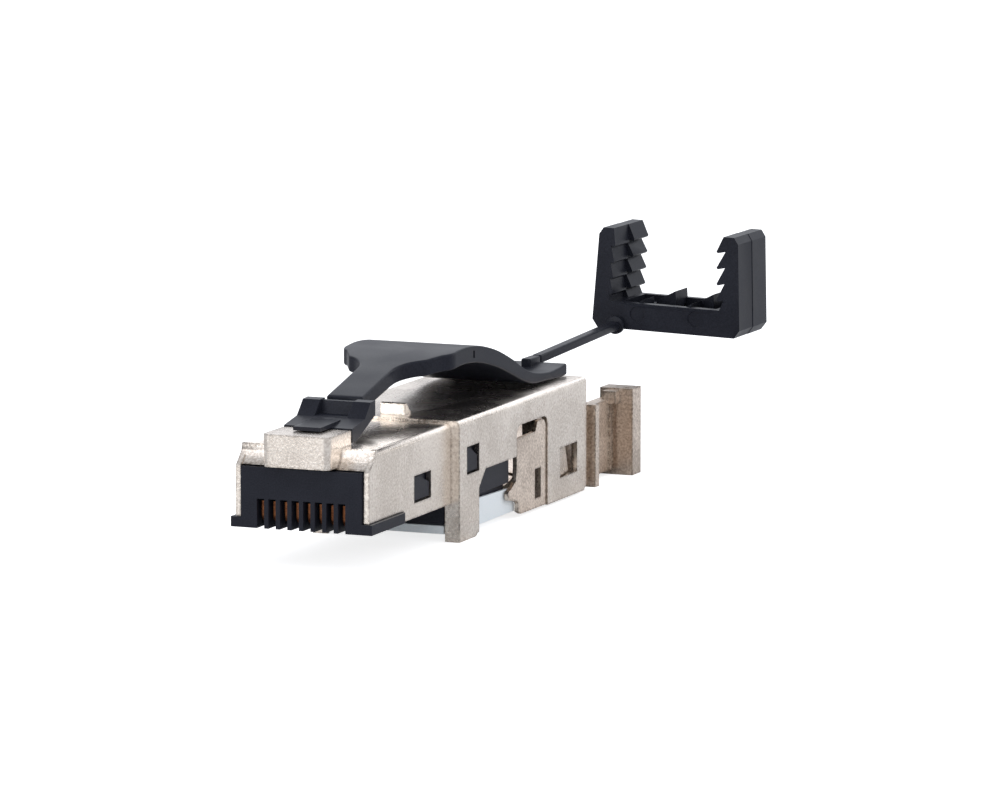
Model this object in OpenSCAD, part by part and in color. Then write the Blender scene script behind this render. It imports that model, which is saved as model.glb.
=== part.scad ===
/* [Nose] */
// width of the nose that enters the jack, mm
nose_width = 11.68; // [11.3:0.01:11.9]
// height of the nose, from the contact edge to its roof, mm
nose_height = 6.55; // [6.4:0.01:6.7]
// length of the narrow nose, front edge to the step of the body, mm
nose_length = 16.95; // [15:0.05:18]
// thickness of the folded shell sheet, mm
sheet = 0.45; // [0.35:0.01:0.5]
// length of the low front wings at the foot of the nose, mm
wing_length = 7.1; // [6:0.1:8]
// height of the wings above the contact edge, mm
wing_height = 0.75; // [0.6:0.05:0.9]
// how far the wings stand out of the nose side, mm
wing_out = 0.35; // [0.2:0.05:0.4]

/* [Latch housing] */
// width of the raised housing over the nose, mm
hood_width = 5.9; // [5.6:0.05:6.1]
// height of the housing top above the contact edge, mm
hood_top = 7.75; // [7.6:0.05:7.9]
// height of the housing foot above the contact edge, mm
hood_foot = 5.1; // [5:0.05:5.2]
// how far the housing stands ahead of the contact face, mm
hood_ahead = 1.04; // [0.8:0.02:1.2]
// where the housing ends behind the contact face, mm
hood_back = 3.3; // [3.1:0.05:3.4]

/* [Body] */
// width of the wide rear body, mm
body_width = 13.26; // [13:0.02:13.5]
// height of the body roof above the nose roof, mm
body_rise = 0.25; // [0.15:0.01:0.35]
// depth of the body below the contact edge, mm
body_drop = 3.05; // [3:0.05:3.4]
// length of the wide body, mm
body_length = 28.15; // [27:0.05:29]
// length of the deep foot behind the step, mm
foot_length = 4.15; // [3.6:0.05:4.4]
// extra depth of the foot, mm
foot_extra = 0.25; // [0.1:0.05:0.4]

/* [Contacts] */
// distance from one contact to the next, mm
contact_pitch = 1.016; // [1.0:0.001:1.03]
// width of each contact slot, mm
slot_width = 0.62; // [0.5:0.01:0.68]
// thickness of each contact blade, mm
blade = 0.32; // [0.25:0.01:0.36]
// top of the contact slots above the contact edge, mm
slot_top = 2.3; // [2.2:0.01:2.4]
// thickness of the circuit board, mm
board_thick = 0.9; // [0.7:0.1:1.0]

/* [Terminals] */
// width of each wire channel, mm
wire_width = 0.9; // [0.8:0.01:0.95]
// length of the terminal block, mm
block_length = 11.3; // [11:0.1:11.4]
// thickness of the cap's floor, mm
cap_floor = 0.7; // [0.5:0.05:0.8]

/* [Collar] */
// radius of the cable seat, mm
cable_radius = 3.9; // [3.5:0.05:4.1]
// height of the cable axis above the contact edge, mm
cable_height = 1.6; // [1.4:0.05:1.8]
// width over the collar's two flanges, mm
flange_width = 14.2; // [13.9:0.05:14.4]
// thickness of the front flange, mm
flange_thick = 0.85; // [0.7:0.05:1.0]
// length of the channel between the flanges, mm
channel_length = 8.25; // [7.8:0.05:8.6]
// thickness of the rear posts, mm
post_thick = 2; // [1.6:0.1:2.4]
// width of the neck between the flanges, mm
neck_width = 10.1; // [9.6:0.1:10.4]

/* [Latch] */
// width of the latch tab, mm
tab_width = 6; // [5.8:0.05:6.2]
// width of the lever's tongue, mm
tongue_width = 3.2; // [3:0.05:3.4]
// width of the lever's arch, mm
arch_width = 10; // [9:0.1:11]
// thickness of the lever at the tongue, mm
lever_thick = 1.25; // [1:0.05:1.4]

/* [Strap and clip] */
// width of the strap, mm
strap_width = 0.9; // [0.7:0.05:1.2]
// thickness of the strap, mm
strap_thick = 0.75; // [0.5:0.05:0.9]
// length of the strap, mm
strap_length = 19; // [16:0.5:24]
// width of the clip over its arms, mm
clip_width = 14.07; // [13.8:0.01:14.2]
// height of the clip, mm
clip_height = 9; // [8.6:0.1:10]
// depth of the clip along the cable, mm
clip_depth = 7; // [6:0.1:7.6]
// thickness of each clip arm, mm
arm_thick = 1.45; // [1.2:0.05:1.6]
// height of the clip's base, mm
base_height = 2.6; // [2.4:0.1:3.0]
// distance from one tooth to the next, mm
tooth_pitch = 1.44; // [1.4:0.01:1.5]
// how far the teeth stand out of the arms, mm
tooth_out = 0.9; // [0.7:0.05:1.0]
// how far the clip is rolled about the strap, degrees
clip_roll = 1.8; // [0:0.1:2]

/* [Fits] */
// gap round pieces that stay put, mm
fit = 0.1; // [0.05:0.01:0.12]
// gap beside pieces that move, mm
run = 0.12; // [0.08:0.01:0.15]
// gap between the tongue's tip and the latch tab, mm
tip_gap = 0.6; // [0.55:0.01:0.7]

/* [Hidden] */
$fn = 48;
eps = 0.01;
datum = nose_height / 2 + 0.025; // the frame's origin lies on the contact face at this height
nose_half = nose_width / 2;
body_half = body_width / 2;
body_top = nose_height + body_rise;
step_y = nose_length;
body_end = step_y + body_length;
body_in = body_half - sheet;
wire_pitch = 0.1018 * body_width; // distance from one wire channel to the next
bend = sheet + 0.05; // outer radius of the sheet's folds

nickel = [0.80, 0.76, 0.71];
dark = [0.16, 0.16, 0.18];
gold = [0.85, 0.65, 0.30];
pale = [0.85, 0.90, 0.95];

// terminal block and cap
block_front = step_y + 0.55;
block_end = block_front + block_length;
block_half = body_in - fit;
block_foot = -1.9;
block_low_half = block_half - 0.48;
board_foot = slot_top + 0.9;
board_top = board_foot + board_thick;
board_half = 4.5;
board_front = 6.8;
board_end = block_front + 7;
cap_top = block_foot - fit;
cap_foot = cap_top - cap_floor;
cap_half = body_in - 0.18;
cap_end = block_end + 1.4;
row_1 = block_front + 2.9;
row_2 = block_front + 6.3;

// openings in the shell's sides, as distance behind the contact face and height
foot_end = step_y + foot_length;
panel_front = foot_end + 0.2913 * body_length;
panel_len = 0.2451 * body_length;
panel_end = panel_front + panel_len;
panel_top = 4.7;
lance_y = body_end - 6.1;
lance_len = 3.95;
lance_low = -1.15;
lance_high = 1.45;
nose_window = [9.35, 12.8, 1.1, 3.33];
body_window = [step_y + 1.55, step_y + 4.15, 2.15, 4.45];

// collar
flange_y = body_end + 1;
neck_y = flange_y + flange_thick;
post_y = neck_y + channel_length;
collar_end = post_y + post_thick;
sleeve_y = panel_end + 0.4;
sleeve_half = body_in - run;
post_in = cable_radius + 0.55 * (sleeve_half - cable_radius); // inner face of the arms' roots
panel_in = cap_half + run;

// latch
tab_back = 8.05;
tongue_y = tab_back + tip_gap;
tail_y = body_end - 0.2;
tail_top = 7.95;
tail_low = body_top + 0.08;

// strap and clip
strap_x = 2;
strap_y = tail_y + run;
strap_z = 8.1;
strap_rise = 0.65;
clip_y = strap_y + strap_length;
clip_x = strap_x - 2.35 + clip_width / 2;
clip_z = strap_z + strap_rise - 0.35;

function contact_x(i) = (i - 4.5) * contact_pitch;
function wire_x(i) = (i - 4.5) * wire_pitch;

// points of an arc round c from angle a to angle b
function arc(c, r, a, b, n = 8) =
    [for (i = [0:n]) let (t = a + (b - a) * i / n) c + r * [cos(t), sin(t)]];

// smooth curve through the points p, n steps to a span
function curve(p, n = 6) = [for (k = [0:len(p) - 2]) for (i = [0:n - (k == len(p) - 2 ? 0 : 1)])
    let (t = i / n, a = p[max(k - 1, 0)], b = p[k], c = p[k + 1], d = p[min(k + 2, len(p) - 1)])
    0.5 * (2 * b + (c - a) * t + (2 * a - 5 * b + 4 * c - d) * t * t
        + (3 * b - a - 3 * c + d) * t * t * t)];

function flip(p) = [for (i = [len(p) - 1:-1:0]) p[i]];
function mirrored(p) = [for (q = flip(p)) [-q[0], q[1]]];

module place() {
    translate([0, 0, -datum]) children();
}

// outline in distance behind the face and height, made solid from x0 to x1
module across(x0, x1) {
    translate([x0, 0, 0]) rotate([90, 0, 90]) linear_extrude(x1 - x0) children();
}

// the same outline on both sides
module both(x0, x1) {
    across(x0, x1) children();
    across(-x1, -x0) children();
}

// outline in x and height, made solid from y0 to y1
module along(y0, y1) {
    translate([0, y1, 0]) rotate([90, 0, 0]) linear_extrude(y1 - y0) children();
}

module box(x0, x1, y0, y1, z0, z1) {
    translate([x0, y0, z0]) cube([x1 - x0, y1 - y0, z1 - z0]);
}

module rect(v) {
    translate([v[0], v[2]]) square([v[1] - v[0], v[3] - v[2]]);
}

// a rectangle with round top corners
module arch_rect(half, low, high, r) {
    rect([-half, half, low, high - r]);
    rect([-half + r, half - r, low, high]);
    for (s = [-1, 1]) translate([s * (half - r), high - r]) circle(r);
}

// folded sheet: roof and two sides
module channel(half, low, high, y0, y1) {
    along(y0, y1) difference() {
        arch_rect(half, low, high, bend);
        arch_rect(half - sheet, low - 1, high - sheet, bend - sheet);
    }
}

module hood_plan(grow, back) {
    half = hood_width / 2 + grow;
    front = -hood_ahead - grow;
    r = 0.6 + grow;
    rect([-half, half, front + r, back]);
    rect([-half + r, half - r, front, back]);
    for (s = [-1, 1]) translate([s * (half - r), front + r]) circle(r);
}

module hood() {
    wall = sheet - 0.05;
    difference() {
        translate([0, 0, hood_foot]) linear_extrude(hood_top - hood_foot)
            hood_plan(0, hood_back);
        translate([0, 0, hood_foot + wall])
            linear_extrude(hood_top - hood_foot - 2 * wall) hood_plan(-wall, hood_back + 1);
        // the root of the latch passes into the housing from behind
        box(-hood_width / 2 + wall, hood_width / 2 - wall, 0.45, hood_back,
            hood_foot - eps, hood_top - wall);
    }
}

// hollow-curved front of the shell beside the housing
module shoulders() {
    both(hood_width / 2 - 0.2, nose_half - eps) difference() {
        rect([0.45, 1.95, 4.98, nose_height - eps]);
        translate([-0.68, 6.84]) circle(2.2);
    }
}

module cut_out() {
    polygon([[foot_end, -body_drop - 1], [foot_end, 0.7], [foot_end + 1.4, 2.1],
        [panel_front, 2.1], [panel_front, -body_drop - 1]]);
}

module panel_hole() {
    r = 0.9;
    rect([panel_front - eps, panel_end, -body_drop - 1, panel_top - r]);
    rect([panel_front + r, panel_end - r, -body_drop, panel_top]);
    for (y = [panel_front + r, panel_end - r]) translate([y, panel_top - r]) circle(r);
}

module lance() {
    // a flap cut from the side and bent in, so that the collar cannot pull out
    for (s = [-1, 1]) translate([s * (body_half - sheet / 2), lance_y - 0.1, 0])
        rotate([0, 0, s * 9]) across(-sheet / 2 + 0.03, sheet / 2 - 0.03)
            polygon([[-0.2, lance_low + 0.14], [lance_len - 0.5, lance_low + 0.14],
                [lance_len - 1.75, lance_high - 0.1], [-0.2, lance_high - 0.1]]);
}

module roof_tab() {
    // small raised stop under the tongue
    translate([0, step_y + 1.4, body_top - sheet / 2]) rotate([90, 0, 90])
        translate([0, 0, -1.1]) linear_extrude(2.2)
            polygon([[0, 0], [0.1, 1.15], [0.4, 1.2], [1.6, 0]]);
}

module shell() {
    color(nickel) place() {
        difference() {
            union() {
                channel(nose_half, -0.1, nose_height, 1.5, step_y + sheet);
                // the nose sides reach further forward than the roof
                both(nose_half - sheet, nose_half)
                    polygon([[0.25, wing_height + 0.05], [0.3, 4.9], [1.5, nose_height - bend],
                        [2, nose_height - bend], [2, wing_height + 0.05]]);
                shoulders();
                channel(body_half, -body_drop, body_top, step_y, body_end);
                // front wall of the wide body, folded in
                both(5.3, body_half - bend) rect([step_y, step_y + sheet,
                    -body_drop - foot_extra, body_top - bend]);
                both(body_half - bend - eps, body_half - eps) rect([step_y, step_y + sheet,
                    -body_drop - foot_extra, body_top - bend]);
                box(-body_half + bend, body_half - bend, step_y, step_y + sheet,
                    nose_height - sheet, body_top);
                // deep foot behind the step
                both(body_in, body_half - eps) {
                    rect([step_y, foot_end - 0.9, -body_drop - foot_extra, 0]);
                    rect([step_y, foot_end, -body_drop + 0.65, 0]);
                    translate([foot_end - 0.9, -body_drop - foot_extra + 0.9]) circle(0.9);
                }
                roof_tab();
            }
            // the inside under the housing, and the space above the low wings
            translate([0, 0, 0]) box(-hood_width / 2 + 0.4, hood_width / 2 - 0.4, 0, 1.95,
                4.9, nose_height + eps);
            box(-8, 8, -1, wing_length + 0.1, -1, wing_height + 0.05);
            both(nose_half - 2, nose_half + 1) rect(nose_window);
            both(body_half - 2, body_half + 1) rect(body_window);
            both(body_half - 2, body_half + 1) cut_out();
            both(body_half - 2, body_half + 1) panel_hole();
            both(body_half - 2, body_half + 1)
                rect([lance_y, lance_y + lance_len, lance_low, lance_high]);
            // small lead-in at the lower rear corners
            both(body_half - 2, body_half + 1)
                polygon([[body_end - 0.6, -body_drop - 1], [body_end - 0.6, -body_drop],
                    [body_end + 1, -body_drop + 1.2], [body_end + 1, -body_drop - 1]]);
        }
        difference() {
            hood();
            // opening over the roof sheet for the latch root
            box(-hood_width / 2 + 0.4, hood_width / 2 - 0.4, 1.5, hood_back + 1,
                hood_foot - eps, nose_height - sheet + eps);
        }
        lance();
    }
}

carrier_half = nose_half - sheet - 0.09;

module contact_carrier() {
    color(dark) place() difference() {
        union() {
            box(-carrier_half, carrier_half, 0, step_y - 0.15, -0.05, 4.88);
            // wings below the shell's front edge, round at the back
            for (s = [-1, 1]) {
                w = nose_half + wing_out;
                box(min(0, s * w), max(0, s * w), 0, wing_length - 0.5, -0.1, wing_height);
                translate([s * (w - 0.5), wing_length - 0.5, -0.1])
                    cylinder(r = 0.5, h = wing_height + 0.1);
                box(min(0, s * (w - 0.5)), max(0, s * (w - 0.5)), 0, wing_length,
                    -0.1, wing_height);
                // hook in the nose window
                across(s > 0 ? carrier_half - 1 : -nose_half + 0.12,
                    s > 0 ? nose_half - 0.12 : -carrier_half + 1)
                    polygon([[nose_window[0] + 0.15, nose_window[2] + 0.15],
                        [nose_window[1] - 0.15, nose_window[2] + 0.15],
                        [nose_window[1] - 0.15, nose_window[3] - 0.9],
                        [nose_window[0] + 1.2, nose_window[3] - 0.15],
                        [nose_window[0] + 0.15, nose_window[3] - 0.15]]);
            }
        }
        for (i = [1:8]) {
            box(contact_x(i) - slot_width / 2, contact_x(i) + slot_width / 2, -1, 8.6,
                -1, slot_top);
            box(contact_x(i) - slot_width / 2, contact_x(i) + slot_width / 2, 7.3, 8.6,
                -1, board_foot + 0.2);
        }
        // scalloped lower edge of the comb
        for (i = [0:8]) translate([contact_x(i + 0.5), -0.3, -0.3]) rotate([45, 0, 0])
            cube([contact_pitch - slot_width, 0.5, 0.5], center = true);
        // pocket for the circuit board, open to the rear
        box(-board_half - fit, board_half + fit, board_front - fit, step_y + 1,
            board_foot - fit / 2, board_top + fit / 2);
        // hollow under the rear half, so that the walls stay even
        box(-4.2, 4.2, 10.2, step_y + 1, -1, board_foot - 0.75);
    }
}

module contact(i) {
    r = 0.6;
    color(gold) place() across(contact_x(i) - blade / 2, contact_x(i) + blade / 2)
        polygon(concat(
            arc([0.55 + r, 0.35 + r], r, 180, 270),
            [[6.6, 0.35], [8.0, 1.5], [8.0, board_foot], [7.55, board_foot], [7.55, 1.85],
                [6.9, 1.85], [6.2, 1.2], [2.4, 1.2]],
            arc([2.1, 1.5], 0.3, 270, 180, 5),
            [[1.8, 2.1], [0.55, 2.1]]));
}

module circuit_board() {
    color([0.1, 0.3, 0.18]) place()
        box(-board_half, board_half, board_front, board_end, board_foot, board_top);
}

module terminal_recess(i) {
    y = i % 2 == 1 ? row_1 : row_2;
    box(wire_x(i) - 0.6, wire_x(i) + 0.6, y - 0.22, y + 0.22, block_foot - 1, board_foot);
}

module idc_block() {
    color(dark) place() difference() {
        union() {
            box(-block_half, block_half, block_front, block_end, -0.05, body_top - sheet - fit);
            box(-block_low_half, block_low_half, block_front, block_end, block_foot, 0);
            box(-5.15, 5.15, step_y + 0.1, block_front + eps, block_foot, -0.3);
            // hooks in the small windows of the body
            for (s = [-1, 1]) across(s > 0 ? block_half - 1 : -body_half + 0.12,
                s > 0 ? body_half - 0.12 : -block_half + 1)
                polygon([[body_window[0] + 0.15, body_window[2] + 0.15],
                    [body_window[1] - 0.15, body_window[2] + 0.15],
                    [body_window[1] - 0.15, body_window[3] - 1.0],
                    [body_window[0] + 0.9, body_window[3] - 0.15],
                    [body_window[0] + 0.15, body_window[3] - 0.15]]);
        }
        for (i = [1:8]) {
            box(wire_x(i) - wire_width / 2, wire_x(i) + wire_width / 2, block_front + 1.2,
                block_end + 1, block_foot - 1, -0.3);
            terminal_recess(i);
        }
        box(-board_half - fit, board_half + fit, block_front - 1, board_end + fit,
            board_foot - fit / 2, board_top + fit / 2);
        // the block's back is hollowed round the cable's bundle of wires
        translate([0, block_end + 1, cable_height + 1.2]) rotate([90, 0, 0])
            cylinder(r = 2.9, h = 3.4);
    }
}

module idc_terminal(i) {
    y = i % 2 == 1 ? row_1 : row_2;
    color([0.78, 0.76, 0.70]) place() along(y - 0.15, y + 0.15) difference() {
        rect([wire_x(i) - 0.52, wire_x(i) + 0.52, block_foot + 0.4, board_foot - 0.05]);
        rect([wire_x(i) - 0.14, wire_x(i) + 0.14, block_foot - 1, -0.2]);
        // lead-in for the wire
        polygon([[wire_x(i) - 0.4, block_foot + 0.39], [wire_x(i) + 0.4, block_foot + 0.39],
            [wire_x(i), block_foot + 1]]);
    }
}

module wire_cap() {
    color(pale) place() {
        box(-5.15, 5.15, step_y + 0.1, block_front + 0.11, cap_foot, cap_top);
        box(-cap_half, cap_half, block_front + 0.1, cap_end, cap_foot, cap_top);
        for (s = [-1, 1]) {
            a = s > 0 ? block_low_half + fit : -cap_half;
            b = s > 0 ? cap_half : -block_low_half - fit;
            across(a, b) polygon([[block_front + 0.3, cap_foot], [block_front + 0.3, -0.55],
                [block_front + 0.7, -0.3], [panel_front - 0.3, -0.6],
                [panel_front + 0.8, -0.8], [panel_front + 0.8, cap_foot]]);
        }
        // ribs that press the wires into the terminals
        for (i = [1:8]) box(wire_x(i) - 0.3, wire_x(i) + 0.3, row_1 + 0.9, row_2 - 0.9,
            cap_top - eps, cap_top + 0.8);
        for (i = [1:8]) box(wire_x(i) - 0.3, wire_x(i) + 0.3, row_2 + 0.9, block_end - 0.75,
            cap_top - eps, cap_top + 0.8);
    }
}

// side arm of the collar, seen in the shell's side opening
module panel() {
    g = run;
    f = panel_front;
    low = -body_drop;
    polygon(concat(
        [[f + 0.3, 3.5], [f + 0.3, 1], [f + 0.1, -0.05], [f - 1, -0.6], [f - 1.45, -0.72],
            [f - 1.6, -0.9], [f - 1.4, -1.45], [f + 0.3, -1.75], [f + 0.65, -1.95],
            [f + 0.65, low + 0.35], [f + 1.3, low + 0.08], [panel_end - g, low + 0.05]],
        arc([panel_end - g - 0.8, panel_top - 0.25 - 0.8], 0.8, 0, 90, 6),
        [[f + 0.717 * panel_len, panel_top - 0.3], [f + 0.65 * panel_len, 3.6]]));
}

module collar_u(half, low, high, y0, y1) {
    along(y0, y1) difference() {
        rect([-half, half, low, high]);
        translate([0, cable_height]) circle(cable_radius);
        rect([-cable_radius, cable_radius, cable_height, high + 1]);
    }
}

module cable_collar() {
    low = -body_drop;
    color(nickel) place() difference() {
        union() {
            // sleeve inside the shell
            along(sleeve_y, flange_y + eps) difference() {
                rect([-sleeve_half, sleeve_half, low + 0.1, 4.2]);
                translate([0, cable_height]) circle(cable_radius + 0.2);
                rect([-cable_radius - 0.2, cable_radius + 0.2, cable_height, 6]);
            }
            collar_u(flange_width / 2, low + 0.05, 4.2, flange_y, neck_y);
            collar_u(neck_width / 2, low + 0.2, 3.5, neck_y - eps, post_y + eps);
            collar_u(flange_width / 2 - 0.1, low - 0.25, 4.4, post_y, collar_end);
            // ratchet rib and lug beside each post
            for (s = [-1, 1]) {
                n = neck_width / 2;
                box(min(s * (n - 0.2), s * (n + 0.2)), max(s * (n - 0.2), s * (n + 0.2)),
                    post_y - 0.95, post_y - 0.65, low + 0.2, 3.5);
                translate([s > 0 ? n - 0.5 : -n - 0.75, post_y - 1.1, 0])
                    box(0, 1.25, 0, 1.2, 3.1, 4.25);
            }
            // arms forward to the side openings
            for (s = [-1, 1]) {
                a = s > 0 ? panel_in : -panel_in - 0.38;
                across(a, a + 0.38) panel();
                b = s > 0 ? post_in : -panel_in - 0.38;
                across(b, b + panel_in + 0.38 - post_in)
                    rect([panel_end - 1.1, panel_end - run, -2.6, 3.4]);
                c = s > 0 ? post_in : -sleeve_half;
                across(c, c + sleeve_half - post_in)
                    rect([panel_end - 1.1, sleeve_y + 0.1, -2.6, 3.4]);
            }
        }
        // slot in each arm
        both(3, 8) rect([panel_front + 0.63 * panel_len, panel_front + 0.82 * panel_len,
            -2.15, 0.38]);
        // pockets for the shell's lances
        both(sleeve_half - 1.15, 8) rect([lance_y - 0.3, lance_y + lance_len + 0.1,
            lance_low - 0.1, lance_high + 0.1]);
        // small holes on top of the posts
        for (s = [-1, 1]) translate([s * (flange_width / 2 - 0.95), post_y + 0.75, 3.5])
            cylinder(d = 0.55, h = 2, $fn = 24);
    }
}

module latch_tab() {
    half = tab_width / 2;
    color(dark) place() difference() {
        union() {
            across(-half, half) polygon([[hood_back + 0.1, 6.75], [hood_back + 0.1, 7.86],
                [5.9, 8.3], [7.1, 9.5], [tab_back, 9.55], [tab_back, 8.35], [4.2, 6.75]]);
            // prong over the housing and root inside it
            across(-1.2, 1.2) polygon([[1.2, hood_top + 0.08], [1.2, hood_top + 0.4],
                [hood_back + 0.2, 8.2], [5.2, 8.25], [5.2, 7.9], [hood_back + 0.2, 7.6],
                [hood_back + 0.2, hood_top + 0.08]]);
            across(-2.3, 2.3) rect([hood_back - 0.7, hood_back + 0.2, 6.72, 7.1]);
            // shelf that the tongue presses on
            across(-1.4, 1.4) polygon([[7.6, 7.95], [7.6, 8.32], [tab_back + 0.75, 8.32],
                [tab_back + 0.75, 8.05], [tab_back - 0.1, 7.95]]);
        }
        // recess in the middle of the shoulder wall
        across(-tongue_width / 2 + 0.15, tongue_width / 2 - 0.15)
            polygon([[5.0, 8.32], [7.2, 8.38], [7.5, 9.42], [tab_back + 0.5, 9.42],
                [tab_back + 0.5, 10], [5.0, 10]]);
    }
}

// a point of the lever, by its share of the way from the tongue's tip to the tail's end
function lever_at(f, z = 0) = [tongue_y + f * (tail_y - tongue_y), z];

lever_top = curve([lever_at(0, 9.62), lever_at(0.0759, 10.28), lever_at(0.1586, 11.0),
    lever_at(0.2579, 11.75), lever_at(0.3407, 12.14), lever_at(0.4124, 12.12),
    lever_at(0.4841, 11.76), lever_at(0.5697, 11.0), lever_at(0.6579, 9.86),
    lever_at(0.7214, 8.85), lever_at(0.7876, 8.1), lever_at(0.8759, 7.72),
    lever_at(0.9476, 7.78), [tail_y - 0.52, tail_top]]);
lever_low = curve([lever_at(0, 9.62 - lever_thick), lever_at(0.0759, 9.03),
    lever_at(0.1586, 9.7), lever_at(0.2579, 10.42), lever_at(0.3407, 10.74),
    lever_at(0.4124, 10.68), lever_at(0.4841, 10.3), lever_at(0.5697, 9.55),
    lever_at(0.6579, 8.5), lever_at(0.7214, 7.72), lever_at(0.7876, 7.15),
    lever_at(0.8759, tail_low + 0.14), lever_at(0.9476, tail_low), [tail_y - 0.52, tail_low + 0.04]]);

module lever_plan() {
    w = arch_width / 2;
    t = tongue_width / 2;
    a = lever_at(0.1641)[0];
    b = lever_at(0.3145)[0];
    side = concat([[t, tongue_y]], arc([t + 3.0, a], 3.0, 180, 112, 8),
        arc([w - 1.4, b], 1.4, -58, 0, 8), [[w, tail_y - 0.3], [w - 0.3, tail_y]]);
    polygon(concat(side, mirrored(side)));
}

module release_lever() {
    round = (tail_top - tail_low - 0.04) / 2;
    color(dark) place() {
        difference() {
            intersection() {
                across(-arch_width, arch_width) polygon(concat(lever_top,
                    arc([tail_y - 0.52, tail_top - round], round, 90, -90, 8), flip(lever_low)));
                translate([0, 0, tail_low - 1]) linear_extrude(hood_top) lever_plan();
            }
            // moulding slits in the arch's sides
            for (s = [-1, 1]) translate([s * arch_width / 2, lever_at(0.4207)[0], 11.35])
                cube([0.5, 0.28, 0.9], center = true);
        }
        // boss on the tail, where the strap begins
        across(strap_x - strap_width / 2, strap_x + strap_width / 2)
            polygon([[tail_y - 2.6, 7.5], [tail_y - 2.2, strap_z + strap_thick / 2 - 0.03],
                [tail_y - 0.02, strap_z + strap_thick / 2 - 0.03], [tail_y - 0.02, 7.5]]);
    }
}

module strap() {
    h = strap_thick / 2;
    a = [strap_y + h, strap_z];
    b = [clip_y, strap_z + strap_rise];
    color(dark) place() {
        across(strap_x - strap_width / 2, strap_x + strap_width / 2) {
            polygon([a - [0, h], a + [0, h], b + [0, h], b - [0, h]]);
            translate(a) circle(h); // round root that turns beside the boss
        }
        // collar at the clip end
        translate([strap_x, clip_y - 0.5, strap_z + strap_rise]) rotate([-90, 0, 0])
            cylinder(r = 0.82, h = 0.5);
    }
}

// one arm of the clip, outer face at x = 0, n teeth toward +x from the height first down
module arm(n, first, out) {
    top = clip_height;
    lean = 0.4; // the outer face leans in toward the top
    polygon(concat([[0.5, 0], [0, 0.7], [lean, top - 0.6], [lean + 0.4, top],
        [arm_thick + 0.35, top]],
        [for (k = [0:n - 1]) for (j = [0:2]) let (z = first - k * tooth_pitch,
            x = arm_thick + lean * 0.3)
            j == 0 ? [x + out - 0.05 * k, z] :
            j == 1 ? [x + out - 0.12 - 0.05 * k, z - 0.14] : [x, z + 0.02]],
        [[arm_thick + 0.15, base_height - 0.2], [arm_thick + 0.15, 0]]));
}

module clip_half() {
    near = clip_depth / 2;
    first = clip_height - 1.35;
    along(0, near + eps) arm(4, first - 0.25, tooth_out - 0.5);
    // the far half has the longer row of teeth and stands a little further in
    translate([0.05, 0, 0]) along(near, clip_depth) arm(5, first, tooth_out - 0.05);
}

// upright teeth on the base, in two rows
module base_teeth() {
    for (k = [-1, 1]) {
        translate([k * 1.82 + 0.7, 0, 0]) along(clip_depth / 2 + 0.2, clip_depth - 0.3)
            polygon([[-1.2, base_height - 0.8], [-1.2, base_height - 0.3],
                [0.55, base_height + 0.65], [0.7, base_height - 0.8]]);
        translate([k * 2.3 - 0.6, 0, 0]) along(0.6, clip_depth / 2 - 0.2)
            polygon([[-0.9, base_height - 1.2], [-0.9, base_height - 0.7],
                [0.45, base_height + 0.1], [0.6, base_height - 1.2]]);
    }
}

module strain_relief_clip() {
    w = clip_width / 2;
    color(dark) place() translate([strap_x, clip_y + 0.02, strap_z + strap_rise])
        rotate([0, clip_roll, 0]) translate([clip_x - strap_x, 0, clip_z - strap_z - strap_rise]) {
        difference() {
            union() {
                translate([-w, 0, 0]) clip_half();
                translate([w, clip_depth, 0]) rotate([0, 0, 180]) clip_half();
                box(-w + 0.6, w - 0.6, 0, clip_depth, 0, base_height - 0.2);
            }
            // hollow in the base between its walls
            box(-w + 2.6, w - 2.6, 0.9, clip_depth - 0.7, 0.9, base_height + 2);
            // round marks of the ejector pins
            for (x = [-2.75, 2.75]) translate([x, -0.5, 1.45]) rotate([-90, 0, 0])
                cylinder(r = 0.7, h = 0.6);
        }
        difference() {
            base_teeth();
            box(-w, w, -1, clip_depth + 1, -1, 0.5);
        }
        // webs that carry the teeth
        for (x = [-3.0, -0.9, 1.5, 2.75]) box(x - 0.3, x + 0.3, 0.5, clip_depth - 0.5, 0.5,
            base_height - 0.7);
    }
}

shell();
contact_carrier();
contact(1);  // contact_1
contact(2);  // contact_2
contact(3);  // contact_3
contact(4);  // contact_4
contact(5);  // contact_5
contact(6);  // contact_6
contact(7);  // contact_7
contact(8);  // contact_8
circuit_board();
idc_block();
idc_terminal(1);  // idc_terminal_1
idc_terminal(2);  // idc_terminal_2
idc_terminal(3);  // idc_terminal_3
idc_terminal(4);  // idc_terminal_4
idc_terminal(5);  // idc_terminal_5
idc_terminal(6);  // idc_terminal_6
idc_terminal(7);  // idc_terminal_7
idc_terminal(8);  // idc_terminal_8
wire_cap();
cable_collar();
latch_tab();
release_lever();
strap();
strain_relief_clip();
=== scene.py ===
import math

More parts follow.
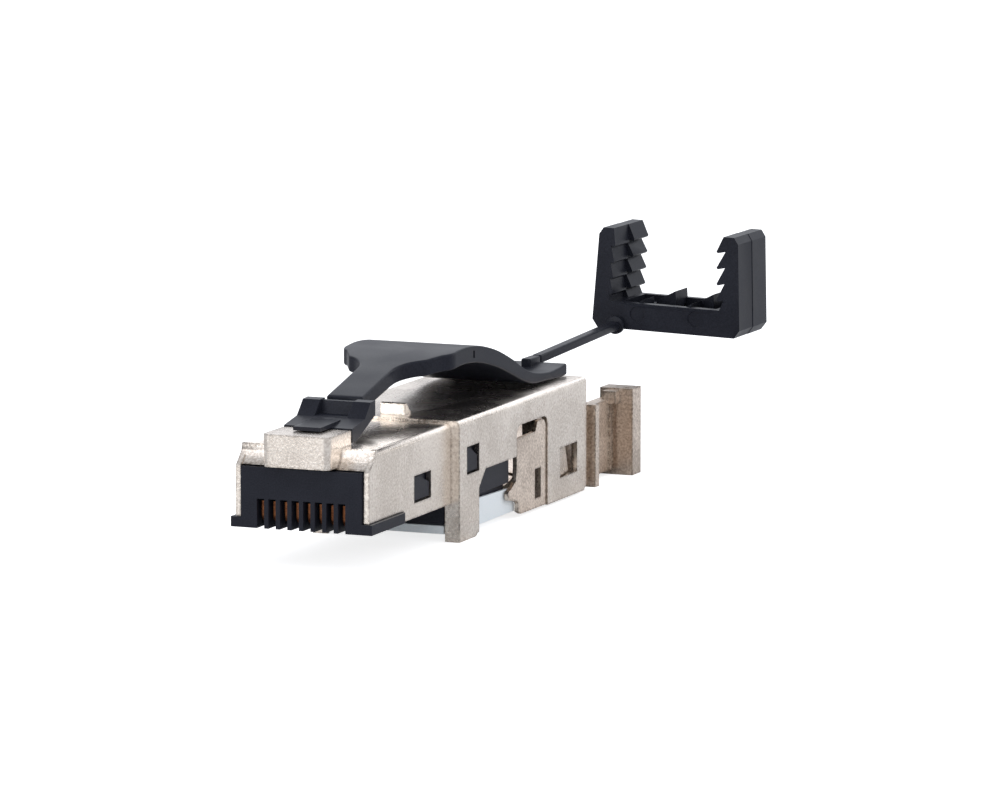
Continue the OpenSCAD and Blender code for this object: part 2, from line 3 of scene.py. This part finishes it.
import bmesh
import bpy
import numpy as np
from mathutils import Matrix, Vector


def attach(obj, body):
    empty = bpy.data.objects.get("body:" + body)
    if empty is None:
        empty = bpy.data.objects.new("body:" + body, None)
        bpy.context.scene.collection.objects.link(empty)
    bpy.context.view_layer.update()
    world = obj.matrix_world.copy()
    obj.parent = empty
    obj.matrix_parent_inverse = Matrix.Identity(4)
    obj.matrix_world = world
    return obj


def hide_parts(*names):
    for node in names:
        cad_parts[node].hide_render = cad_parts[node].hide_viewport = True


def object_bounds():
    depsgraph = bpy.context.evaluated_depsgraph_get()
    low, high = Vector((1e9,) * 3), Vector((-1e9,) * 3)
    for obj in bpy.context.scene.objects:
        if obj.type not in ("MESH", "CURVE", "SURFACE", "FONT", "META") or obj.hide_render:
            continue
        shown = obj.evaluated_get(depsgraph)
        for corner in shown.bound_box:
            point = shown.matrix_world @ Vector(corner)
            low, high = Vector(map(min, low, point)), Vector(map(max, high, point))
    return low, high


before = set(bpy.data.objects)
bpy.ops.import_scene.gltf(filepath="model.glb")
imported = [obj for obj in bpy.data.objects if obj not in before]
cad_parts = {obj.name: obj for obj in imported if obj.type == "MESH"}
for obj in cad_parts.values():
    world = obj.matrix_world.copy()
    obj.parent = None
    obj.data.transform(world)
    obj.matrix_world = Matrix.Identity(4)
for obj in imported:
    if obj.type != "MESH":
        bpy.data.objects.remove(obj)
cad_box = [[float(v) for v in corner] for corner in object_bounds()]

MM = 0.001
DATUM = 3.3 * MM  # height of the frame's origin above the contact edge


# Meshes


def as_object(name, mesh, material, body, replaced=(), smooth=35):
    """Puts a mesh in the scene as a piece: material, body and the solids it stands for."""
    piece = bpy.data.objects.new(name, mesh)
    bpy.context.collection.objects.link(piece)
    mesh.materials.clear()
    mesh.materials.append(material)
    mesh.shade_smooth()
    mesh.set_sharp_from_angle(angle=math.radians(smooth))
    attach(piece, body)
    if replaced:
        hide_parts(*replaced)
    return piece


def skin(name, rings, cap_start=True, cap_end=True):
    """A closed tube of quads over rings, an array (stations, points round, 3).

    The points are in millimetres above the contact edge. Ring k joins ring k + 1 point by point,
    and the two end rings are filled.
    """
    count, around = rings.shape[:2]
    verts = rings.reshape(-1, 3) * MM
    verts[:, 2] -= DATUM
    i, j = np.meshgrid(np.arange(count - 1), np.arange(around), indexing="ij")
    a = (i * around + j).ravel()
    b = (i * around + (j + 1) % around).ravel()
    quads = np.stack([a, b, b + around, a + around], axis=1)
    faces = [list(map(int, q)) for q in quads]
    if cap_start:
        faces.append([int(k) for k in range(around)][::-1])
    if cap_end:
        faces.append([int(k) for k in range((count - 1) * around, count * around)])
    mesh = bpy.data.meshes.new(name)
    mesh.from_pydata(verts.tolist(), [], faces)
    work = bmesh.new()
    work.from_mesh(mesh)
    bmesh.ops.remove_doubles(work, verts=work.verts, dist=1e-7)
    bmesh.ops.recalc_face_normals(work, faces=work.faces)
    work.to_mesh(mesh)
    work.free()
    return mesh


def eased(node, body, width, material, segments=2):
    """A merged copy of a CAD node with its edges rounded to width millimetres, in place of the node."""
    work = bmesh.new()
    work.from_mesh(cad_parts[node].data)
    bmesh.ops.remove_doubles(work, verts=work.verts, dist=1e-6)
    bmesh.ops.dissolve_limit(
        work, angle_limit=math.radians(0.5), verts=work.verts, edges=work.edges
    )
    bmesh.ops.recalc_face_normals(work, faces=work.faces)
    mesh = bpy.data.meshes.new(node + "_finished")
    work.to_mesh(mesh)
    work.free()
    piece = as_object(node + "_finished", mesh, material, body, [node], smooth=25)
    edge = piece.modifiers.new("edge", "BEVEL")
    edge.width = width * MM
    edge.segments = segments
    edge.limit_method = "ANGLE"
    edge.angle_limit = math.radians(28)
    edge.use_clamp_overlap = True
    edge.harden_normals = True
    return piece


def smooth_line(points, steps):
    """A smooth curve through points, rows of (along, height), with steps to a span.

    Each span is the even cubic through its four neighbours.
    """
    p = np.asarray(points, float)
    p = np.vstack([p[:1], p, p[-1:]])
    t = np.linspace(0, 1, steps, endpoint=False)[:, None]
    out = []
    for a, b, c, d in zip(p[:-3], p[1:-2], p[2:-1], p[3:]):
        out.append(0.5 * (2 * b + (c - a) * t + (2 * a - 5 * b + 4 * c - d) * t**2
                          + (3 * b - a - 3 * c + d) * t**3))
    return np.vstack(out + [p[-2:-1]])


# Materials


def shader_group(name, inputs, outputs):
    """An empty node group with its named sockets, and its input and output nodes."""
    tree = bpy.data.node_groups.new(name, "ShaderNodeTree")
    for socket, value in inputs:
        made = tree.interface.new_socket(socket, in_out="INPUT", socket_type="NodeSocketFloat")
        made.default_value = value
    for socket, kind in outputs:
        tree.interface.new_socket(socket, in_out="OUTPUT", socket_type=kind)
    return tree, tree.nodes.new("NodeGroupInput"), tree.nodes.new("NodeGroupOutput")


def noise(tree, coordinates, scale, detail, roughness=0.6):
    node = tree.nodes.new("ShaderNodeTexNoise")
    node.inputs["Scale"].default_value = scale
    node.inputs["Detail"].default_value = detail
    node.inputs["Roughness"].default_value = roughness
    tree.links.new(coordinates, node.inputs["Vector"])
    return node


def math_node(tree, operation, first, second):
    node = tree.nodes.new("ShaderNodeMath")
    node.operation = operation
    for socket, value in zip(node.inputs, (first, second)):
        if isinstance(value, (int, float)):
            socket.default_value = value
        else:
            tree.links.new(value, socket)
    return node.outputs[0]


def ramp(tree, value, stops):
    node = tree.nodes.new("ShaderNodeValToRGB")
    colours = node.color_ramp
    while len(colours.elements) < len(stops):
        colours.elements.new(0.5)
    for element, (position, colour) in zip(colours.elements, stops):
        element.position = position
        element.color = (*colour, 1)
    tree.links.new(value, node.inputs["Fac"])
    return node.outputs["Color"]


def span(tree, value, low, high, out_low, out_high):
    node = tree.nodes.new("ShaderNodeMapRange")
    for socket, number in zip(node.inputs[1:5], (low, high, out_low, out_high)):
        socket.default_value = number
    tree.links.new(value, node.inputs["Value"])
    return node.outputs["Result"]


def grain_group():
    """Fine grain for plated metal and moulded plastic.

    Two sizes of noise give a speckle mask, a slow patch mask and a bumped normal.
    """
    tree, given, result = shader_group(
        "fine_grain",
        [("Grain Scale", 5000.0), ("Patch Scale", 300.0), ("Depth", 0.1)],
        [("Speckle", "NodeSocketFloat"), ("Patch", "NodeSocketFloat"), ("Normal", "NodeSocketVector")],
    )
    place = tree.nodes.new("ShaderNodeTexCoord").outputs["Object"]
    fine = noise(tree, place, 1.0, 3)
    slow = noise(tree, place, 1.0, 2)
    tree.links.new(given.outputs["Grain Scale"], fine.inputs["Scale"])
    tree.links.new(given.outputs["Patch Scale"], slow.inputs["Scale"])
    bump = tree.nodes.new("ShaderNodeBump")
    bump.inputs["Distance"].default_value = 0.00002
    tree.links.new(given.outputs["Depth"], bump.inputs["Strength"])
    tree.links.new(fine.outputs["Fac"], bump.inputs["Height"])
    tree.links.new(fine.outputs["Fac"], result.inputs["Speckle"])
    tree.links.new(slow.outputs["Fac"], result.inputs["Patch"])
    tree.links.new(bump.outputs["Normal"], result.inputs["Normal"])
    return tree


GRAIN = grain_group()


def edge_shade_group():
    """Where a corner is near, as a mask from 0 to 1 that noise breaks up; it places a painted shade along
    the corners.

    It grows as the true normal turns away from the one that a rounded edge would have, by the
    cosine between them.
    """
    tree, given, result = shader_group(
        "painted_edge_shade", [("Width", 0.0003), ("Noise Scale", 3200.0)], [("Edge", "NodeSocketFloat")]
    )
    place = tree.nodes.new("ShaderNodeTexCoord").outputs["Object"]
    rounded = tree.nodes.new("ShaderNodeBevel")
    rounded.samples = 4
    tree.links.new(given.outputs["Width"], rounded.inputs["Radius"])
    flat = tree.nodes.new("ShaderNodeNewGeometry")
    dot = tree.nodes.new("ShaderNodeVectorMath")
    dot.operation = "DOT_PRODUCT"
    tree.links.new(rounded.outputs["Normal"], dot.inputs[0])
    tree.links.new(flat.outputs["True Normal"], dot.inputs[1])
    near = span(tree, dot.outputs["Value"], 0.995, 0.90, 0.0, 1.0)
    spots = noise(tree, place, 1.0, 3)
    tree.links.new(given.outputs["Noise Scale"], spots.inputs["Scale"])
    broken = span(tree, spots.outputs["Fac"], 0.42, 0.58, 0.25, 1.0)
    tree.links.new(math_node(tree, "MULTIPLY", near, broken), result.inputs["Edge"])
    return tree


EDGE_SHADE = edge_shade_group()


def finish(name, dark, light, metallic, rough, grain=6000.0, patch=250.0, depth=0.2,
           spread=(0.38, 0.62), ior=1.5, edge=None, edge_shade=0.0):
    """A material with grain: the speckle carries its colour from dark to light.

    Its roughness runs over rough with the patches, and corners take the edge colour, a painted dark shade.
    """
    material = bpy.data.materials.new(name)
    material.use_nodes = True
    tree = material.node_tree
    shader = tree.nodes["Principled BSDF"]
    shader.inputs["Metallic"].default_value = metallic
    shader.inputs["IOR"].default_value = ior
    group = tree.nodes.new("ShaderNodeGroup")
    group.node_tree = GRAIN
    group.inputs["Grain Scale"].default_value = grain
    group.inputs["Patch Scale"].default_value = patch
    group.inputs["Depth"].default_value = depth
    mixed = math_node(tree, "ADD", math_node(tree, "MULTIPLY", group.outputs["Speckle"], 0.7),
                      math_node(tree, "MULTIPLY", group.outputs["Patch"], 0.3))
    colour = ramp(tree, mixed, [(spread[0], dark), (spread[1], light)])
    # painted shade: corners darken towards the edge colour by the corner mask
    if edge:
        corner = tree.nodes.new("ShaderNodeGroup")
        corner.node_tree = EDGE_SHADE
        mix = tree.nodes.new("ShaderNodeMix")
        mix.data_type = "RGBA"
        mix.inputs[7].default_value = (*edge, 1)
        tree.links.new(math_node(tree, "MULTIPLY", corner.outputs["Edge"], edge_shade), mix.inputs[0])
        tree.links.new(colour, mix.inputs[6])
        colour = mix.outputs[2]
    tree.links.new(colour, shader.inputs["Base Color"])
    tree.links.new(span(tree, group.outputs["Patch"], 0.3, 0.7, *rough), shader.inputs["Roughness"])
    tree.links.new(group.outputs["Normal"], shader.inputs["Normal"])
    return material


METAL_GRAIN = 4800.0

# the dark edge colours of the two nickel finishes are painted shade along their corners
SHEET = finish("nickel_sheet", (0.68, 0.60, 0.525), (0.97, 0.90, 0.82), 1.0, (0.22, 0.32),
               grain=METAL_GRAIN, depth=0.75, edge=(0.13, 0.105, 0.085), edge_shade=0.8)
CASTING = finish("nickel_casting", (0.52, 0.425, 0.35), (0.92, 0.81, 0.71), 1.0, (0.28, 0.40),
                 grain=METAL_GRAIN, depth=0.8, edge=(0.11, 0.085, 0.065), edge_shade=0.85)
BLACK = finish("black_plastic", (0.014, 0.015, 0.021), (0.024, 0.026, 0.036), 0.0, (0.28, 0.38),
               grain=9000.0, depth=0.14, ior=1.20)
# the contact gold is darkened to a painted shade, for the shade deep inside the slots
SHADED_GOLD = finish("gold_contact", (0.08, 0.025, 0.012), (0.24, 0.095, 0.04), 1.0, (0.22, 0.30), depth=0.05)
TIN = finish("tinned_bronze", (0.62, 0.60, 0.55), (0.80, 0.78, 0.74), 1.0, (0.30, 0.40), depth=0.1)
PALE = finish("pale_plastic", (0.86, 0.93, 0.96), (0.93, 0.97, 0.99), 0.0, (0.38, 0.46), depth=0.06)
BOARD = finish("board", (0.05, 0.20, 0.10), (0.08, 0.28, 0.15), 0.0, (0.40, 0.50), depth=0.1)


# Pieces

eased("shell", "plug", 0.09, SHEET)
eased("cable_collar", "plug", 0.09, CASTING)
eased("contact_carrier", "plug", 0.05, BLACK)
eased("idc_block", "plug", 0.05, BLACK)
eased("circuit_board", "plug", 0.05, BOARD)
eased("wire_cap", "cap", 0.07, PALE)
eased("latch_tab", "tab", 0.1, BLACK)
eased("strain_relief_clip", "tether", 0.08, BLACK)
for number in range(1, 9):
    eased(f"contact_{number}", "plug", 0.04, SHADED_GOLD)
    eased(f"idc_terminal_{number}", "plug", 0.03, TIN)


def rounded_section(half_width, half_height, radius):
    """A ring of points on a rounded rectangle, with quarter circles of the radius at its corners.

    Seven points go down each side, so that a slit can be pressed in.
    """
    turn = np.radians(np.linspace(0, 90, 6))
    side = np.array([0.78, 0.56, 0.55, 0.0, -0.55, -0.56, -0.78])
    corner = np.stack([np.cos(turn), np.sin(turn)], axis=1) * radius
    inner = np.array([half_width - radius, half_height - radius])
    first = inner + corner  # right side up to the top
    run = np.linspace(0.9, -0.9, 13)[:, None] * [inner[0], 0] + [0, half_height]
    second = np.stack([-first[::-1, 0], first[::-1, 1]], axis=1)
    left = np.stack([np.full(7, -half_width), side * (half_height - radius)], axis=1)
    upper = np.vstack([first, run, second])
    lower = np.stack([-upper[:, 0], -upper[:, 1]], axis=1)
    right = -left
    return np.vstack([upper, left, lower, right])


def release_lever():
    """The lever: a rounded rectangle carried from the tongue's tip to the tail.

    Its top and underside are each a smooth curve through the solid's heights, its half width is
    the plan outline's, and its last rings close on a half circle.
    """
    top = smooth_line([(8.65, 9.62), (11.4, 10.28), (14.4, 11.0), (18, 11.75), (21, 12.14),
                       (23.6, 12.12), (26.2, 11.76), (29.3, 11.0), (32.5, 9.86), (34.8, 8.85),
                       (37.2, 8.1), (40.4, 7.72), (43, 7.78), (44.38, 7.95)], 12)
    low = smooth_line([(8.65, 8.37), (11.4, 9.03), (14.4, 9.7), (18, 10.42), (21, 10.74),
                       (23.6, 10.68), (26.2, 10.3), (29.3, 9.55), (32.5, 8.5), (34.8, 7.72),
                       (37.2, 7.15), (40.4, 7.02), (43, 6.88), (44.38, 6.92)], 12)
    bend_angle = np.radians(np.linspace(180, 112, 14))
    nose_angle = np.radians(np.linspace(-58, 0, 14))
    plan = np.vstack([
        [[8.65, 1.6]],
        np.stack([14.6 + 3 * np.sin(bend_angle), 4.6 + 3 * np.cos(bend_angle)], axis=1),
        np.stack([20.05 + 1.4 * np.sin(nose_angle), 3.6 + 1.4 * np.cos(nose_angle)], axis=1),
        [[44.6, 5.0], [44.9, 4.75]],
    ])
    slit = [23.74, 23.76, 24.04, 24.06]
    along = np.unique(np.concatenate([np.linspace(8.65, 14.4, 24), np.linspace(14.4, 21, 44),
                                      np.linspace(21, 44.38, 90), slit]))
    rings = []
    for y in along:
        high, under = np.interp(y, top[:, 0], top[:, 1]), np.interp(y, low[:, 0], low[:, 1])
        half_width = np.interp(y, plan[:, 0], plan[:, 1])
        ring = rounded_section(half_width, (high - under) / 2, 0.16)
        if 23.75 < y < 24.05:
            pressed = (np.abs(ring[:, 1]) < 0.56 * ((high - under) / 2 - 0.16)) & (
                np.abs(ring[:, 0]) > half_width - 0.01)
            ring[pressed, 0] -= np.sign(ring[pressed, 0]) * 0.25
        rings.append(np.column_stack([ring[:, 0], np.full(len(ring), y), ring[:, 1] + (high + under) / 2]))
    start = rings[0].copy()
    middle = start.mean(axis=0)
    first = middle + (start - middle) * [0.94, 1, 0.86]
    start[:, 1] += 0.08
    rings[0] = start
    rings.insert(0, first)
    for turn in np.radians([20, 40, 58, 72, 84]):
        half_height = 0.515 * math.cos(turn)
        y = 44.38 + 0.515 * math.sin(turn)
        half_width = np.interp(y, plan[:, 0], plan[:, 1]) - 0.1 * (1 - math.cos(turn))
        ring = rounded_section(half_width, half_height, min(0.16, half_height * 0.8))
        rings.append(np.column_stack([ring[:, 0], np.full(len(ring), y), ring[:, 1] + 7.435]))
    return skin("release_lever_body", np.array(rings))


def bar(name, start, end, half_width, half_height, radius):
    """A straight bar with a rounded rectangular section, its edges drawn in at both ends."""
    start, end = np.asarray(start, float), np.asarray(end, float)
    ring = rounded_section(half_width, half_height, radius)
    length = np.linalg.norm(end - start)
    way = (end - start) / length
    rings = []
    drawn_in = ((0, 0.8), (0.06, 0.95), (0.14, 1))
    ends = drawn_in + tuple((length - at, shrink) for at, shrink in reversed(drawn_in))
    for at, shrink in ends:
        centre = start + way * at
        rings.append(centre + np.column_stack([ring[:, 0], np.zeros(len(ring)), ring[:, 1]]) * shrink)
    return skin(name, np.array(rings))


def joined(name, meshes):
    """Several meshes as one."""
    work = bmesh.new()
    for mesh in meshes:
        work.from_mesh(mesh)
    out = bpy.data.meshes.new(name)
    work.to_mesh(out)
    work.free()
    return out


def round_pin(name, centre, radius, depth, points=28):
    """A short cylinder along y with a small rounding at each rim."""
    turn = np.linspace(0, 2 * np.pi, points, endpoint=False)
    rings = []
    for y, r in ((0, radius - 0.1), (0.03, radius - 0.03), (0.1, radius), (depth - 0.1, radius),
                 (depth - 0.03, radius - 0.03), (depth, radius - 0.1)):
        rings.append(np.column_stack([centre[0] + r * np.cos(turn), np.full(points, centre[1] + y),
                                      centre[2] + r * np.sin(turn)]))
    return skin(name, np.array(rings))


lever = joined("release_lever_finished", [
    release_lever(),
    bar("lever_boss", (2.0, 42.55, 8.0), (2.0, 44.86, 8.0), 0.45, 0.445, 0.14),
])
as_object("release_lever_finished", lever, BLACK, "lever", ["release_lever"])
strap = joined("strap_finished", [
    bar("strap_bar", (2.0, 45.04, 8.09), (2.0, 64.0, 8.75), 0.45, 0.375, 0.14),
    round_pin("strap_root", (2.0, 63.52, 8.75), 0.82, 0.5),
])
as_object("strap_finished", strap, BLACK, "tether", ["strap"])


# Stage, light and camera

FLOOR_GAP = 0.00002
FLOOR_REACH = 3.0
LIT_POINT = (0.0, 0.03, 0.0)

# brightness seen by the camera, by reflections and by the light itself
FLOOR_GLOW = (0.76, 0.0, 0.0)
WORLD_SEEN, WORLD_LIT = 1.1, 0.75
# what a reflection sees: between two heights of the ray, from dark low down to bright above
WORLD_MIRRORED = (0.08, 0.42, 0.35, 1.75)
# and between two heights further up, a share of that, darker again overhead
WORLD_ZENITH = (0.60, 0.90, 1.0, 0.3)
LIGHTS = [
    ("top", (0.0, 0.24, 0.38), (0.30, 0.24), 0.6),
    ("front", (-0.16, -0.42, 0.06), (0.34, 0.24), 2.2),
    ("right", (0.34, 0.30, 0.10), (0.30, 0.22), 1.4),
]


def area_light(name, place, aim, size, radiance):
    """A soft light of the given size and brightness, turned to the point that it lights."""
    lamp = bpy.data.lights.new(name, "AREA")
    lamp.shape = "RECTANGLE"
    lamp.size, lamp.size_y = size
    lamp.energy = radiance * math.pi * size[0] * size[1]
    holder = bpy.data.objects.new(name, lamp)
    bpy.context.collection.objects.link(holder)
    holder.location = place
    holder.rotation_euler = (Vector(aim) - Vector(place)).to_track_quat("-Z", "Y").to_euler()


def by_ray(tree, camera_value, glossy_value, other_value):
    """A value that depends on what looks: the camera, a reflection, or the light itself."""
    path = tree.nodes.new("ShaderNodeLightPath")
    seen = tree.nodes.new("ShaderNodeMix")
    seen.inputs["A"].default_value = other_value
    if isinstance(glossy_value, (int, float)):
        seen.inputs["B"].default_value = glossy_value
    else:
        tree.links.new(glossy_value, seen.inputs["B"])
    tree.links.new(path.outputs["Is Glossy Ray"], seen.inputs["Factor"])
    mixed = tree.nodes.new("ShaderNodeMix")
    mixed.inputs["B"].default_value = camera_value
    tree.links.new(path.outputs["Is Camera Ray"], mixed.inputs["Factor"])
    tree.links.new(seen.outputs["Result"], mixed.inputs["A"])
    return mixed.outputs["Result"]


def stage():
    """A pale floor at the height of the foot, a white world and three soft lights.

    The floor is seen through from below.
    """
    height = cad_box[0][2] - FLOOR_GAP
    far = FLOOR_REACH
    mesh = bpy.data.meshes.new("floor")
    mesh.from_pydata([(-far, -far, height), (far, -far, height), (far, far, height), (-far, far, height)],
                     [], [(0, 1, 2, 3)])
    floor = bpy.data.objects.new("floor", mesh)
    bpy.context.collection.objects.link(floor)
    material = bpy.data.materials.new("pale_floor")
    material.use_nodes = True
    tree = material.node_tree
    tree.nodes.remove(tree.nodes["Principled BSDF"])
    matt = tree.nodes.new("ShaderNodeBsdfDiffuse")
    matt.inputs["Color"].default_value = (0.8, 0.8, 0.8, 1)
    glow = tree.nodes.new("ShaderNodeEmission")
    tree.links.new(by_ray(tree, *FLOOR_GLOW), glow.inputs["Strength"])
    both = tree.nodes.new("ShaderNodeAddShader")
    tree.links.new(matt.outputs[0], both.inputs[0])
    tree.links.new(glow.outputs[0], both.inputs[1])
    under = tree.nodes.new("ShaderNodeMixShader")
    clear = tree.nodes.new("ShaderNodeBsdfTransparent")
    side = tree.nodes.new("ShaderNodeNewGeometry")
    tree.links.new(side.outputs["Backfacing"], under.inputs["Fac"])
    tree.links.new(both.outputs[0], under.inputs[1])
    tree.links.new(clear.outputs[0], under.inputs[2])
    tree.links.new(under.outputs[0], tree.nodes["Material Output"].inputs["Surface"])
    mesh.materials.append(material)

    world = bpy.data.worlds.new("studio")
    bpy.context.scene.world = world
    world.use_nodes = True
    tree = world.node_tree
    way = tree.nodes.new("ShaderNodeSeparateXYZ")
    tree.links.new(tree.nodes.new("ShaderNodeTexCoord").outputs["Generated"], way.inputs[0])
    mirrored = math_node(tree, "MULTIPLY", span(tree, way.outputs["Z"], *WORLD_MIRRORED),
                         span(tree, way.outputs["Z"], *WORLD_ZENITH))
    glow = by_ray(tree, WORLD_SEEN, mirrored, WORLD_LIT)
    tree.links.new(glow, tree.nodes["Background"].inputs["Strength"])
    tree.nodes["Background"].inputs["Color"].default_value = (0.95, 0.975, 1.03, 1)
    for name, place, size, radiance in LIGHTS:
        area_light(name, place, LIT_POINT, size, radiance)


def camera():
    """The photograph's camera, 22.5 degrees to the right of the front and 8.4 up.

    It stands 500 mm away, with 84.07 mm across its view there.
    """
    azimuth, elevation, distance, width = math.radians(22.485), math.radians(8.351), 0.5, 0.08407
    aim = Vector((4.804 * MM, 30 * MM, 6.706 * MM - DATUM))
    back = Vector((math.sin(azimuth) * math.cos(elevation), -math.cos(azimuth) * math.cos(elevation),
                   math.sin(elevation)))
    lens = bpy.data.cameras.new("camera")
    lens.sensor_width = 36
    lens.lens = 36 * distance / width
    lens.clip_start = 0.01
    holder = bpy.data.objects.new("camera", lens)
    bpy.context.collection.objects.link(holder)
    holder.location = aim + back * distance
    holder.rotation_euler = (-back).to_track_quat("-Z", "Y").to_euler()
    bpy.context.scene.camera = holder


stage()
camera()
bpy.context.scene.view_settings.view_transform = "Standard"
